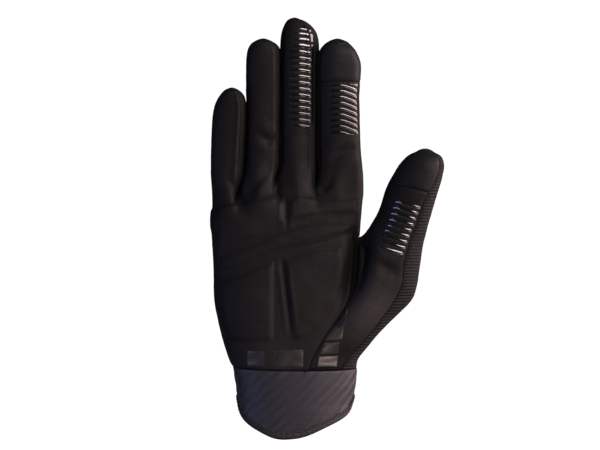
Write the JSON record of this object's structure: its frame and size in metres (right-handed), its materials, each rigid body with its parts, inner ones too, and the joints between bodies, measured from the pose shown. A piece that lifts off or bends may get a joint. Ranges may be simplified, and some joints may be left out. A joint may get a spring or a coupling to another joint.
{
  "type": "full-finger cycling glove",
  "caption": "Full-finger sport glove for the right hand, shaped as worn, with a padded leather palm, ribbed silicone finger grips, stretch fabric back and an elastic slip-on cuff.",
  "frame": {"origin": "middle of the wrist opening, level with the lowest point of the hem", "axes": "+Z from the wrist towards the fingertips, +X towards the thumb, -Y out of the palm"},
  "size_m": [0.1344, 0.0487, 0.2412],
  "materials": {
    "palm_leather": "matte synthetic leather with a fine suede grain",
    "tip_leather": "smooth matte synthetic leather",
    "stretch_fabric": "finely ribbed stretch knit",
    "side_fabric": "stretch knit",
    "cuff_fabric": "elastic twill with wide diagonal ribs",
    "hem_tape": "folded stitched tape",
    "silicone": "glossy moulded silicone"
  },
  "bodies": {
    "root": {"palm_panel": "palm_leather", "index_tip_panel": "tip_leather", "thumb_panel": "palm_leather", "thumb_tip_panel": "tip_leather", "back_panel": "stretch_fabric", "thumb_back_panel": "stretch_fabric", "side_strip_little_ring": "side_fabric", "side_strip_ring_middle": "side_fabric", "side_strip_middle_index": "side_fabric", "middle_grip": "silicone", "index_grip": "silicone", "thumb_grip": "silicone", "wrist_grip_1": "silicone", "wrist_grip_2": "silicone", "wrist_grip_3": "silicone", "wrist_grip_4": "silicone", "wrist_grip_5": "silicone", "cuff_front": "cuff_fabric", "cuff_back": "cuff_fabric", "cuff_binding": "hem_tape"}
  },
  "joints": []
}
